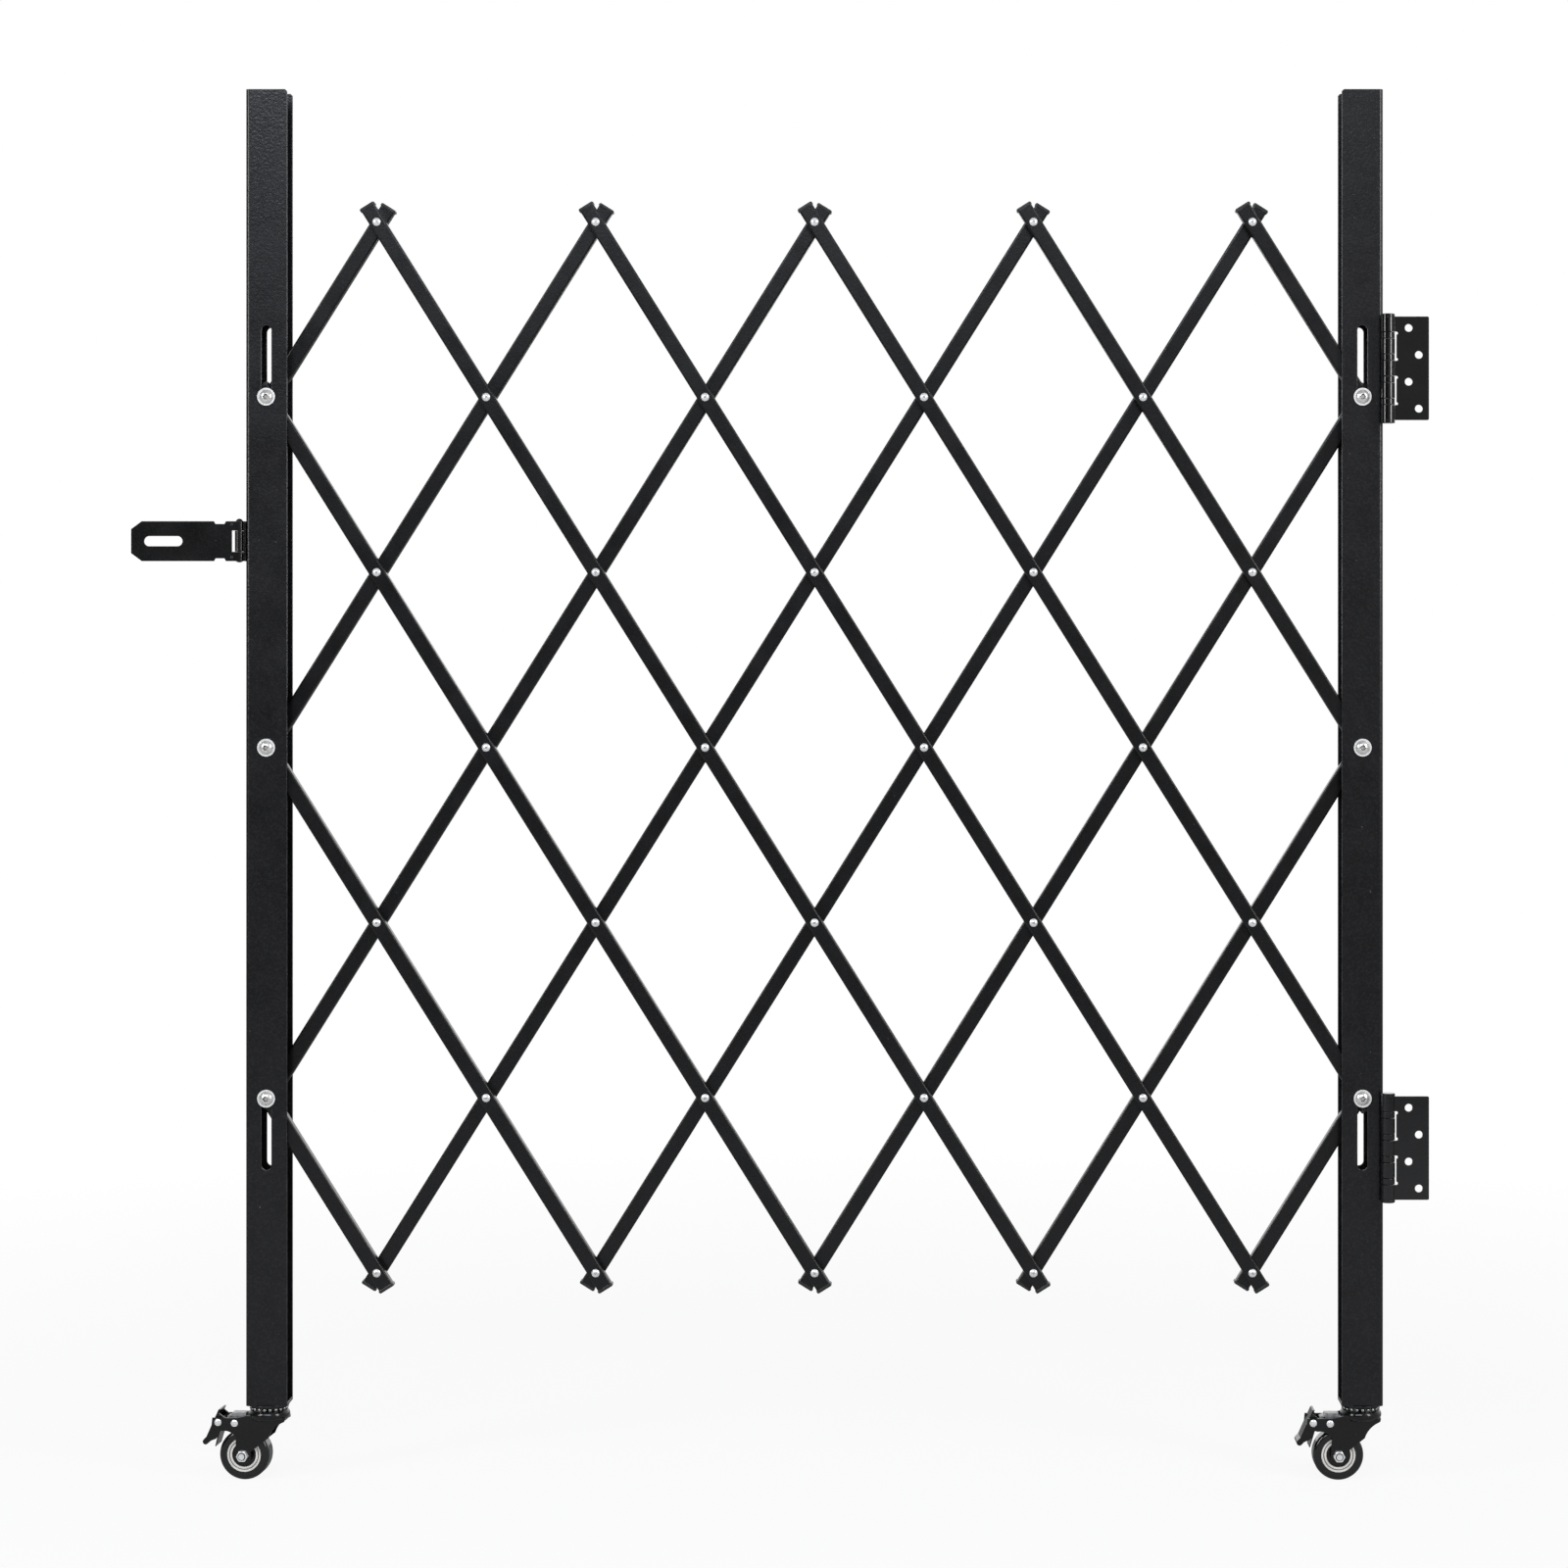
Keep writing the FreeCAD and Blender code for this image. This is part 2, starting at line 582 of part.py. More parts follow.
def post_leaf(z):
    """The leaf on the post's web: the wall leaf's mate, turned to lie along +Y."""
    shape = leaf(range(1, KNUCKLES, 2)).mirror(Vector(0, 0, 0), Vector(0, 1, 0))
    shape.rotate(Vector(0, 0, 0), Vector(0, 0, 1), 90)
    shape.translate(Vector(HINGE_POST_X + HINGE_PIN_X, HINGE_PIN_Y, z))
    return shape


def hinge_pin():
    """A pin with a flat button at each end, as wide as the barrel."""
    half = LEAF_HEIGHT / 2 + FACE_CLEARANCE
    button = turned(
        (0, half),
        (BARREL_RADIUS, half),
        (BARREL_RADIUS, half + BARREL_CAP - BARREL_CAP_BEVEL),
        (BARREL_RADIUS - BARREL_CAP_BEVEL, half + BARREL_CAP),
        (0, half + BARREL_CAP),
    )
    foot = button.mirror(Vector(0, 0, 0), Vector(0, 0, 1))
    return fused(rod_z(0, 0, -half, half, PIN_RADIUS), button, foot)


def hinge_rings():
    inner = PIN_RADIUS + PIVOT_CLEARANCE
    outer = BARREL_RADIUS - RING_STEP
    rings = []
    for number in range(KNUCKLES - 1):
        low = knuckle_heights(number)[1] + RING_ROOM
        high = knuckle_heights(number + 1)[0] - RING_ROOM
        bevelled = turned(
            (inner, low),
            (outer - RING_BEVEL, low),
            (outer, low + RING_BEVEL),
            (outer, high - RING_BEVEL),
            (outer - RING_BEVEL, high),
            (inner, high),
        )
        rings.append(bevelled)
    return Part.makeCompound(rings)


def at_both_hinges(shape):
    copies = []
    for z in (UPPER_HINGE_Z, LOWER_HINGE_Z):
        copy = shape.copy()
        copy.translate(Vector(HINGE_POST_X + HINGE_PIN_X, HINGE_PIN_Y, z))
        copies += copy.Solids
    return Part.makeCompound(copies)


# Hasp, made with its pin at the origin and its strap along -X
def at_hasp(shape):
    shape.translate(Vector(LOCK_POST_X - HASP_PIN_X, HASP_PIN_Y, HASP_Z))
    return shape


def hasp_strap():
    half = HASP_WIDTH / 2
    knuckle = HASP_KNUCKLE / 2 + HASP_GAP
    front = -HASP_BARREL_RADIUS
    back = front + HASP_SHEET
    notch_end = -HASP_NOTCH_START - HASP_NOTCH_LENGTH
    notch_floor = half - HASP_NOTCH_DEPTH

    def edge(side):
        return [
            (-HASP_NOTCH_START, side * half),
            (-HASP_NOTCH_START - HASP_NOTCH_SLANT, side * notch_floor),
            (notch_end + HASP_NOTCH_SLANT, side * notch_floor),
            (notch_end, side * half),
            (HASP_TIP_LENGTH - HASP_LENGTH, side * half),
            (-HASP_LENGTH, side * (half - HASP_TIP_DROP)),
        ]

    points = [(0, half)] + edge(1) + edge(-1)[::-1] + [(0, -half)]
    sheet = plate_y(outline(*points), front, back)
    ears = [rod_z(0, 0, z0, z1, HASP_BARREL_RADIUS) for z0, z1 in ((knuckle, half), (-half, -knuckle))]
    pip = dome(HASP_PIP_RADIUS, HASP_BARREL_RADIUS, HASP_PIP_HEIGHT)
    pips = [facing_front(pip, -HASP_PIP_REACH, side * HASP_PIP_SPREAD / 2) for side in (-1, 1)]
    strap = fused(sheet, *ears, *pips)
    slot_x = -HASP_SLOT_REACH
    slot_half = (HASP_SLOT_LENGTH - HASP_SLOT_WIDTH) / 2
    slot = [rod_y(slot_x + s * slot_half, 0, front, back, HASP_SLOT_WIDTH / 2) for s in (-1, 1)]
    slot.append(
        box(slot_x - slot_half, slot_x + slot_half, front, back, -HASP_SLOT_WIDTH / 2, HASP_SLOT_WIDTH / 2)
    )
    window = box(-HASP_BARREL_RADIUS - HASP_WINDOW, HASP_BARREL_RADIUS, front, back, -knuckle, knuckle)
    bore = rod_z(0, 0, -half, half, HASP_PIN_RADIUS + PIVOT_CLEARANCE)
    return at_hasp(strap.cut(slot + [window, bore]))


def hasp_rivet_heights():
    return [-HASP_RIVET_SPREAD / 2, HASP_RIVET_SPREAD / 2]


def hasp_rivet_y():
    return (POST_FACE - HASP_BASE_BACK + HASP_PIN_Y) / 2


def hasp_base():
    """The sheet on the post's web, with the middle knuckle that the strap turns on."""
    half = HASP_WIDTH / 2
    inner = HASP_BARREL_RADIUS + HASP_GAP
    back = POST_FACE - HASP_BASE_BACK - HASP_PIN_Y
    sheet = box(inner, inner + HASP_SHEET, -HASP_SETBACK, back, -half, half)
    knuckle = rod_z(0, 0, -HASP_KNUCKLE / 2, HASP_KNUCKLE / 2, HASP_BARREL_RADIUS)
    neck = box(0, inner, HASP_GAP, HASP_GAP + HASP_SHEET, -HASP_KNUCKLE / 2, HASP_KNUCKLE / 2)
    base = fused(sheet, neck, knuckle)
    cuts = [rod_z(0, 0, -half, half, HASP_PIN_RADIUS + PIVOT_CLEARANCE)]
    hole = HASP_RIVET_RADIUS + PIVOT_CLEARANCE
    for z in hasp_rivet_heights():
        cuts.append(rod_x(inner, inner + HASP_SHEET, hasp_rivet_y() - HASP_PIN_Y, z, hole))
    return at_hasp(base.cut(cuts))


def hasp_pin():
    """A pin with a domed head on top and a flatter riveted end below."""
    half = HASP_WIDTH / 2 + FACE_CLEARANCE
    head = dome(HASP_PIN_HEAD_RADIUS, half, HASP_PIN_HEAD)
    tail = dome(HASP_PIN_HEAD_RADIUS, half, HASP_PIN_TAIL).mirror(Vector(0, 0, 0), Vector(0, 0, 1))
    return at_hasp(fused(rod_z(0, 0, -half, half, HASP_PIN_RADIUS), head, tail))


def hasp_rivets():
    """Rivets through the hasp's base and the lock post's web, heads towards -X."""
    grip = HASP_SHEET + POST_WALL
    solid = fused(
        dome(HASP_RIVET_HEAD, grip, HASP_RIVET_HEIGHT),
        rod_z(0, 0, -HASP_RIVET_HEIGHT, grip, HASP_RIVET_RADIUS),
        ring(HASP_RIVET_RADIUS, HASP_RIVET_HEAD, -HASP_RIVET_HEIGHT, 0),
    )
    pieces = []
    for z in hasp_rivet_heights():
        piece = solid.copy()
        inner_face = LOCK_POST_X - POST_WIDTH / 2 + POST_WALL
        turn = Rotation(Vector(0, 1, 0), -90)
        piece.Placement = Placement(Vector(inner_face, hasp_rivet_y(), HASP_Z + z), turn)
        pieces.append(piece)
    return Part.makeCompound(pieces)


def lock_post():
    post = towards_lock_side(channel(HINGE_POST_X))
    web = LOCK_POST_X - POST_WIDTH / 2
    hole = HASP_RIVET_RADIUS + PIVOT_CLEARANCE
    holes = []
    for z in hasp_rivet_heights():
        holes.append(rod_x(web, web + POST_WALL, hasp_rivet_y(), HASP_Z + z, hole))
    return post.cut(holes)


# Casters, made with the swivel axis on X = 0, trailing towards -X
def caster_mount():
    """The upper race with its stem and king rivet, and the nut that holds it to the foot plate."""
    head_top = CROWN_BOTTOM - FORK_SHEET - FACE_CLEARANCE
    nut_bottom = POST_BOTTOM + FOOT_PLATE
    nut_top = nut_bottom + STEM_NUT_HEIGHT
    mount = turned(
        (0, head_top - KING_HEAD),
        (KING_HEAD_RADIUS, head_top - KING_HEAD),
        (KING_HEAD_RADIUS, head_top),
        (KING_RADIUS, head_top),
        (KING_RADIUS, RACE_BOTTOM),
        (RACE_RADIUS, RACE_BOTTOM),
        (RACE_RADIUS, POST_BOTTOM),
        (KING_RADIUS, POST_BOTTOM),
        (KING_RADIUS, nut_top + STEM_TIP),
        (0, nut_top + STEM_TIP),
    )
    bore = rod_z(0, 0, nut_bottom, nut_top, KING_RADIUS + PIVOT_CLEARANCE)
    return Part.makeCompound([mount, nut_block(STEM_NUT_FLATS, nut_bottom, nut_top).cut(bore)])


def caster_balls():
    balls = []
    for number in range(BALL_COUNT):
        angle = 2 * math.pi * number / BALL_COUNT
        x, y = BALL_CIRCLE * math.cos(angle), BALL_CIRCLE * math.sin(angle)
        balls.append(Part.makeSphere(BALL_RADIUS, Vector(x, y, (CROWN_TOP + RACE_BOTTOM) / 2)))
    return Part.makeCompound(balls)


def leg_outline():
    """Fork leg round the axle, with the arm that carries the brake."""
    top = CROWN_BOTTOM
    arm_foot = top - ARM_HEIGHT
    end = -TRAIL - ARM_LENGTH

    def round_point(degrees):
        angle = math.radians(degrees)
        return -TRAIL + LEG_ROUND * math.cos(angle), AXLE_Z + LEG_ROUND * math.sin(angle)

    right = round_point(LEG_FRONT_ANGLE)
    left = round_point(LEG_BACK_ANGLE)
    nose_foot = top - FORK_SHEET - NOSE_LIP
    waist = ((FORK_NOSE + right[0]) / 2 + LEG_WAIST, (nose_foot + right[1]) / 2 - LEG_WAIST)
    hollow = ((FORK_NOSE + waist[0]) / 2 - NOSE_HOLLOW, (nose_foot + waist[1]) / 2 + NOSE_HOLLOW)
    armpit = (-TRAIL - LEG_ROUND + ARMPIT_INSET, arm_foot - ARMPIT_DROP)
    armpit_curve = (armpit[0] - ARMPIT_ROUND, arm_foot - ARMPIT_DROP / 2)
    return outline(
        (FORK_NOSE, top),
        (FORK_NOSE, nose_foot),
        (hollow, waist),
        right,
        (round_point(-90), left),
        armpit,
        (armpit_curve, (end + ARM_HEIGHT, arm_foot - ARM_TAPER)),
        (end, arm_foot + ARM_TIP_SLANT),
        (end + ARM_TIP_SLANT, top),
        (-CROWN_RADIUS - SHOULDER_RUN, top),
        (-CROWN_RADIUS + CROWN_ROUND, top + SHOULDER_RISE),
    )


def caster_fork():
    plate_bottom = CROWN_BOTTOM - FORK_SHEET
    bore = KING_RADIUS + FACE_CLEARANCE
    rim = CROWN_RADIUS - CROWN_ROUND
    crown_middle = (CROWN_TOP + plate_bottom) / 2
    cup = turned(
        (bore, CROWN_TOP - FORK_SHEET),
        (rim - FORK_SHEET, CROWN_TOP - FORK_SHEET),
        (rim - FORK_SHEET, plate_bottom),
        (rim, plate_bottom),
        ((CROWN_RADIUS, crown_middle), (rim, CROWN_TOP)),
        (bore, CROWN_TOP),
    )
    plate = box(-FORK_TAIL, FORK_NOSE, -LEG_OUTER, LEG_OUTER, plate_bottom, CROWN_BOTTOM)
    legs = [plate_y(leg_outline(), LEG_INNER, LEG_OUTER), plate_y(leg_outline(), -LEG_OUTER, -LEG_INNER)]
    plan = box(-FORK_TAIL - ARM_LENGTH, FORK_NOSE, -LEG_OUTER, LEG_OUTER, 0, CROWN_TOP)
    nose_corners = [edge for edge in upright_edges(plan) if edge.BoundBox.XMin > 0]
    body = fused(plate, *legs).common(plan.makeFillet(NOSE_CORNER, nose_corners))
    fork = fused(body, cup)
    holes = [
        rod_z(0, 0, plate_bottom, CROWN_BOTTOM, bore),
        rod_y(-TRAIL, AXLE_Z, -LEG_OUTER, LEG_OUTER, AXLE_RADIUS + PIVOT_CLEARANCE),
    ]
    for x, z in brake_rivet_places():
        holes.append(rod_y(x, z, -LEG_OUTER, LEG_OUTER, BRAKE_RIVET_RADIUS + PIVOT_CLEARANCE))
    return fork.cut(holes)


def brake_rivet_places():
    second = (-TRAIL - SECOND_RIVET_OUT, CROWN_BOTTOM - SECOND_RIVET_DROP)
    return [(BRAKE_PIVOT_X, BRAKE_PIVOT_Z), second]


def caster_fasteners():
    """Axle bolt and nut, the brake's pivot rivet and the rivet through both arms."""
    nut_top = LEG_OUTER + AXLE_NUT
    bolt = fused(
        rod_z(0, 0, -LEG_OUTER, nut_top + AXLE_TIP, AXLE_RADIUS),
        nut_block(AXLE_FLATS, -LEG_OUTER, -LEG_OUTER - AXLE_HEAD),
    )
    nut_hole = rod_z(0, 0, LEG_OUTER, nut_top, AXLE_RADIUS + PIVOT_CLEARANCE)
    countersink = rod_z(0, 0, nut_top - AXLE_NUT_LIP_DEPTH, nut_top, AXLE_RADIUS + AXLE_NUT_LIP)
    nut = nut_block(AXLE_FLATS, LEG_OUTER, nut_top).cut([nut_hole, countersink])
    head = dome(BRAKE_RIVET_HEAD, LEG_OUTER, BRAKE_RIVET_HEIGHT)
    tail = head.mirror(Vector(0, 0, 0), Vector(0, 0, 1))
    brake_rivet = fused(rod_z(0, 0, -LEG_OUTER, LEG_OUTER, BRAKE_RIVET_RADIUS), head, tail)
    pieces = [facing_front(piece, -TRAIL, AXLE_Z) for piece in (bolt, nut)]
    pieces += [facing_front(brake_rivet, x, z) for x, z in brake_rivet_places()]
    return Part.makeCompound(pieces)


def caster_hub():
    """Wheel core: a boss on the axle, a dished web and a bright grooved ring on each side."""
    boss = LEG_INNER - FACE_CLEARANCE
    face = WHEEL_WIDTH / 2 - RIM_RING_INSET
    groove = (RIM_RING_INNER + RIM_RADIUS) / 2
    bore = AXLE_RADIUS + PIVOT_CLEARANCE

    def side(sign):
        return [
            (bore, sign * boss),
            (HUB_RADIUS, sign * boss),
            (HUB_RADIUS, sign * (face - RIM_DISH)),
            (RIM_RING_INNER, sign * (face - RIM_DISH)),
            (RIM_RING_INNER, sign * face),
            (groove - RIM_GROOVE_WIDTH / 2, sign * face),
            (groove, sign * (face - RIM_GROOVE_DEPTH)),
            (groove + RIM_GROOVE_WIDTH / 2, sign * face),
            (RIM_RADIUS, sign * face),
        ]

    points = side(1) + side(-1)[::-1]
    return facing_front(turned(*points), -TRAIL, AXLE_Z)


def caster_tyre():
    half = WHEEL_WIDTH / 2
    flat = half - TYRE_SHOULDER
    crown = WHEEL_RADIUS - TYRE_SHOULDER
    bend = TYRE_SHOULDER * math.sqrt(0.5)
    tyre = turned(
        (RIM_RADIUS, -half),
        (crown, -half),
        ((crown + bend, -flat - bend), (WHEEL_RADIUS, -flat)),
        (WHEEL_RADIUS, flat),
        ((crown + bend, flat + bend), (crown, half)),
        (RIM_RADIUS, half),
    )
    return facing_front(tyre, -TRAIL, AXLE_Z)


def brake_pedal():
    """A bent foot plate with a round thick toe, two ears on the pivot and a pointed shoe behind the tyre."""
    tip = (-PEDAL_TIP_OUT, PEDAL_TIP_RISE)
    knee = (-PEDAL_KNEE_OUT, -PEDAL_KNEE_DROP)
    toe = (-PEDAL_TOE_OUT, -PEDAL_TOE_DROP)
    slant = PEDAL_TOE_LENGTH * math.sqrt(0.5)
    under = PEDAL_TOE_THICKNESS * math.sqrt(0.5)
    toe_end = (toe[0] - slant, toe[1] - slant)
    toe_root = (toe[0] + under, toe[1] - under)

    def inside(point):
        return point[0] + PEDAL_SHEET, point[1]

    share = (tip[1] - EAR_HEAD_RISE) / (tip[1] - knee[1])
    ear_head = (tip[0] + share * (knee[0] - tip[0]) + PEDAL_SHEET / 2, EAR_HEAD_RISE)
    plate = outline(
        tip,
        knee,
        toe,
        toe_end,
        ((toe_end[0], toe_end[1] - under), (toe_end[0] + under, toe_end[1] - under)),
        toe_root,
        inside(knee),
        inside(tip),
    )
    ear = outline(
        ear_head,
        (EAR_REACH, EAR_RISE),
        (EAR_FOOT_REACH, -EAR_FOOT_DROP),
        (EAR_HEEL_REACH, -EAR_HEEL_DROP),
        (-EAR_SOLE_OUT, -EAR_SOLE_DROP),
        toe_root,
        (knee[0] + PEDAL_SHEET / 2, knee[1]),
    )
    shoe = outline(
        (SHOE_TOP_REACH, -SHOE_TOP_DROP),
        (-SHOE_OUT, -SHOE_DROP),
        (-SHOE_OUT - SHOE_POINT, -SHOE_DROP),
        (SHOE_TOP_REACH - PEDAL_SHEET, -SHOE_TOP_DROP),
    )
    wide = PEDAL_HALF_WIDTH
    pedal = fused(
        plate_y(plate, -wide, wide),
        plate_y(ear, -wide, -wide + PEDAL_SHEET),
        plate_y(ear, wide - PEDAL_SHEET, wide),
        plate_y(shoe, -wide, wide),
    )
    pedal = pedal.cut(rod_y(0, 0, -wide, wide, BRAKE_RIVET_RADIUS + PIVOT_CLEARANCE))
    pedal.translate(Vector(BRAKE_PIVOT_X, 0, BRAKE_PIVOT_Z))
    return pedal


def brake_catch():
    """The zinc catch on the crown plate, with a tongue that bends down past the plate's edge."""
    rear = -FORK_TAIL
    front = -CROWN_RADIUS - CATCH_ROOM
    base = CROWN_BOTTOM
    top = base + CATCH_HEIGHT
    face = outline(
        (front, base),
        (rear, base),
        (rear - CATCH_REACH, base - CATCH_DROP),
        (rear - CATCH_REACH, base - CATCH_DROP + CATCH_SHEET),
        (rear - CATCH_LEAN, base + CATCH_SHEET),
        (rear, top),
        (front - CATCH_LEAN, top),
    )
    return plate_y(face, -CATCH_WIDTH / 2, CATCH_WIDTH / 2)


CASTER_PIECES = {
    "caster_mount": caster_mount,
    "caster_balls": caster_balls,
    "caster_fork": caster_fork,
    "caster_fasteners": caster_fasteners,
    "caster_hub": caster_hub,
    "caster_tyre": caster_tyre,
    "brake_pedal": brake_pedal,
    "brake_catch": brake_catch,
}


# The whole gate, one entry per named piece
def gate():
    nodes = {}
    bars = (COLUMNS + ROWS) // 2
    for number in range(1, bars + 1):
        nodes[f"front_bar_{number}"] = bar(front_bar_pivots(number), -1)
        nodes[f"back_bar_{number}"] = bar(back_bar_pivots(number), 1)
        nodes[f"front_bar_{number}_rivets"] = front_bar_rivets(number)
    for side, column in (("left", 0), ("right", COLUMNS)):
        nodes[f"{side}_upper_slide_bolt"] = post_bolt(column, ROWS - 1)
        nodes[f"{side}_middle_bolt"] = post_bolt(column, ROWS // 2)
        nodes[f"{side}_lower_slide_bolt"] = post_bolt(column, 1)
    nodes["right_post"] = channel(HINGE_POST_X)
    nodes["left_post"] = lock_post()
    nodes["right_foot_plate"] = foot_plate(HINGE_POST_X)
    nodes["left_foot_plate"] = towards_lock_side(foot_plate(HINGE_POST_X))
    for level, z in (("upper", UPPER_HINGE_Z), ("lower", LOWER_HINGE_Z)):
        nodes[f"{level}_wall_leaf"] = wall_leaf(z)
        nodes[f"{level}_post_leaf"] = post_leaf(z)
    nodes["hinge_pins"] = at_both_hinges(hinge_pin())
    nodes["hinge_bearing_rings"] = at_both_hinges(hinge_rings())
    nodes["hasp_strap"] = hasp_strap()
    nodes["hasp_base"] = hasp_base()
    nodes["hasp_pin"] = hasp_pin()
    nodes["hasp_rivets"] = hasp_rivets()
    casters = (("left", LOCK_POST_X, LOCK_CASTER_TURN), ("right", HINGE_POST_X, HINGE_CASTER_TURN))
    for side, x, turn in casters:
        for name, make in CASTER_PIECES.items():
            piece = make()
            piece.rotate(Vector(0, 0, 0), Vector(0, 0, 1), turn)
            piece.translate(Vector(x, 0, 0))
            nodes[f"{side}_{name}"] = piece
    return nodes


os.makedirs("parts", exist_ok=True)
for node, shape in gate().items():
    shape.exportStep(f"parts/{node}.step")
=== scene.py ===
import bpy
import json
import math
from collections import namedtuple
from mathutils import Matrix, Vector


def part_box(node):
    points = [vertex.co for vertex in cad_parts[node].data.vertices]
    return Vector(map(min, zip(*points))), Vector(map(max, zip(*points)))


# Expandable security gate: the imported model, dressed in procedural materials and lit in a white studio.
# Metres. X runs along the gate, -Y is the front, Z = 0 is the floor.

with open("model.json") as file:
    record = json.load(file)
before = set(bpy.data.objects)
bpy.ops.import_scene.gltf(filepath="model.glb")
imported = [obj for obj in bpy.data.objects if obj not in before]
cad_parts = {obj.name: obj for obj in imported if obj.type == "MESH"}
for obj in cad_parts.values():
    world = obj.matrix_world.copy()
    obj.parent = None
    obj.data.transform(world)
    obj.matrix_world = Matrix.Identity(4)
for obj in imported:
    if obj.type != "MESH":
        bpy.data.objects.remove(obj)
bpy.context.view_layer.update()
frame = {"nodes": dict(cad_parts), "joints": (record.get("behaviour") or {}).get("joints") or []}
NODES = frame["nodes"]
JOINTS = {joint["name"]: joint for joint in frame["joints"]}

# Camera, from the photograph
VIEW_WIDTH = 1.5563  # width of the picture at the gate's middle plane
VIEW_DISTANCE = 3.5
VIEW_CENTRE = (0.0041, 0.689)  # X and Z in the middle of the picture
LENS_SHIFT = (-0.08, -0.10)
SENSOR = 36.0

# Bars
BAR_LEAN = math.radians(32.0)
PLUG_LIP = 0.003

# Wheel
RIM_RING_INNER = 0.012
RIM_RING_OUTER = 0.017
RIM_FLAT = 0.95  # how squarely the ring's flats face along the axle

# Post bolts
BOLT_HEAD_RADIUS = 0.007

# Tolerance when faces are told apart by their place
SMALL = 0.0002

# Noise patterns: features per metre, levels of detail, and the part of the noise over which each builds up
Pattern = namedtuple("Pattern", "scale detail span", defaults=((0.0, 1.0),))
PAINT_CLOUD = Pattern(45.0, 5.0, (0.30, 0.70))
PAINT_GRAIN = Pattern(450.0, 2.0, (0.45, 0.70))
PAINT_SPECKS = Pattern(330.0, 2.0, (0.765, 0.80))
PAINT_WEAR_AND_SHEEN = Pattern(60.0, 5.0, (0.42, 0.62))
PAINT_GLOSS = Pattern(35.0, 5.0, (0.25, 0.75))
PLATE_GRIME = Pattern(300.0, 5.0, (0.50, 0.75))
PLATE_GLOSS = Pattern(900.0, 4.0, (0.30, 0.70))
PLATE_MARKS = Pattern(1600.0, 3.0)
MOULDED_CLOUD = Pattern(120.0, 3.0, (0.30, 0.70))
MOULDED_GLOSS = Pattern(260.0, 3.0, (0.30, 0.70))
MOULDED_GRAIN = Pattern(1800.0, 2.0)

# Paint
CLOUD_LIFT = 3.0  # how much lighter the clouds are than the base colour
GRAIN_LIFT = 2.5  # how much lighter the grains are than the clouds
SPECK_STRENGTH = 0.6
LEAST_WEAR_AND_SHEEN = 0.2  # share of the pale edge, worn paint and painted highlight, that is there all along an edge
PAINT_GLOSS_RANGE = (0.8, 1.2)  # times the roughness
PAINT_SPECULAR = 0.3
COAT_ROUGHNESS = 0.5  # times the roughness
GRAIN_BUMP = 0.5
GRAIN_DEPTH = 0.0004

# Zinc plate
GRIME_TONE = 0.35  # times the colour
PLATE_GLOSS_RANGE = (0.7, 1.4)
PLATE_DEPTH = 0.0002
STEEL_EDGE = 0.0003  # radius that the light sees on a sharp edge
HOLLOW = 0.0015  # size of the hollows that get painted shade

# Moulded plastic and rubber
MOULDED_LIFT = 2.5
MOULDED_GLOSS_RANGE = (0.85, 1.2)
MOULDED_COAT_ROUGHNESS = 0.08
MOULDED_BUMP = 0.1
MOULDED_DEPTH = 0.0002
MOULDED_EDGE = 0.0006

# Edges and hollows: samples, and the values between which a mask goes from zero to one
EDGE_SAMPLES = 6
EDGE_SPAN = (0.985, 0.8)
HOLLOW_SAMPLES = 8
HOLLOW_SPAN = (0.9, 0.6)

# Studio
WHITE = (1.0, 1.0, 1.0)
ROOM_SPAN = (-0.3, 0.3)  # from the room's left to its right
BACK_SPAN = (0.2, 0.9)  # from the room in front to the white behind the gate
FLOOR_PAPER = (0.92, 0.92, 0.92)
FLOOR_MIRRORED = (0.42, 0.42, 0.42)
FLOOR_ROUGHNESS = 0.9
FLOOR_SIDES = 96

# Inputs A and B and the result of a mix node, for each kind of value
MIX_SOCKETS = {"RGBA": (6, 7, 2), "FLOAT": (2, 3, 0)}


# Node tree helpers
def new_material(name):
    """A material, its node tree and its shader."""
    material = bpy.data.materials.new(name)
    material.use_nodes = True
    tree = material.node_tree
    return material, tree, tree.nodes["Principled BSDF"]


def set_inputs(node, **values):
    for name, value in values.items():
        node.inputs[name.replace("_", " ")].default_value = value


def new_node(tree, kind, **values):
    node = tree.nodes.new(kind)
    set_inputs(node, **values)
    return node


def scaled(colour, share):
    return tuple(share * part for part in colour)


def object_place(tree):
    """Coordinates that ride with the piece."""
    return tree.nodes.new("ShaderNodeTexCoord").outputs["Object"]


def noise(tree, pattern):
    place = object_place(tree)
    node = new_node(tree, "ShaderNodeTexNoise", Scale=pattern.scale, Detail=pattern.detail)
    tree.links.new(place, node.inputs["Vector"])
    return node.outputs["Fac"]


def spread(tree, value, span, low, high):
    """Low to high while the value goes over the span, and level beyond it."""
    node = new_node(tree, "ShaderNodeMapRange", From_Min=span[0], From_Max=span[1], To_Min=low, To_Max=high)
    tree.links.new(value, node.inputs["Value"])
    return node.outputs["Result"]


def built_up(tree, pattern, low, high):
    """Low to high over a noise pattern."""
    return spread(tree, noise(tree, pattern), pattern.span, low, high)


def times(tree, first, second):
    node = tree.nodes.new("ShaderNodeMath")
    node.operation = "MULTIPLY"
    tree.links.new(first, node.inputs[0])
    tree.links.new(second, node.inputs[1])
    return node.outputs["Value"]


def mix(tree, kind, factor, first, second):
    """A value between two; each is a plain value or the output of another node."""
    node = tree.nodes.new("ShaderNodeMix")
    node.data_type = kind
    tree.links.new(factor, node.inputs["Factor"])
    *inputs, result = MIX_SOCKETS[kind]
    for index, value in zip(inputs, (first, second)):
        if isinstance(value, bpy.types.NodeSocket):
            tree.links.new(value, node.inputs[index])
        else:
            node.inputs[index].default_value = value
    return node.outputs[result]


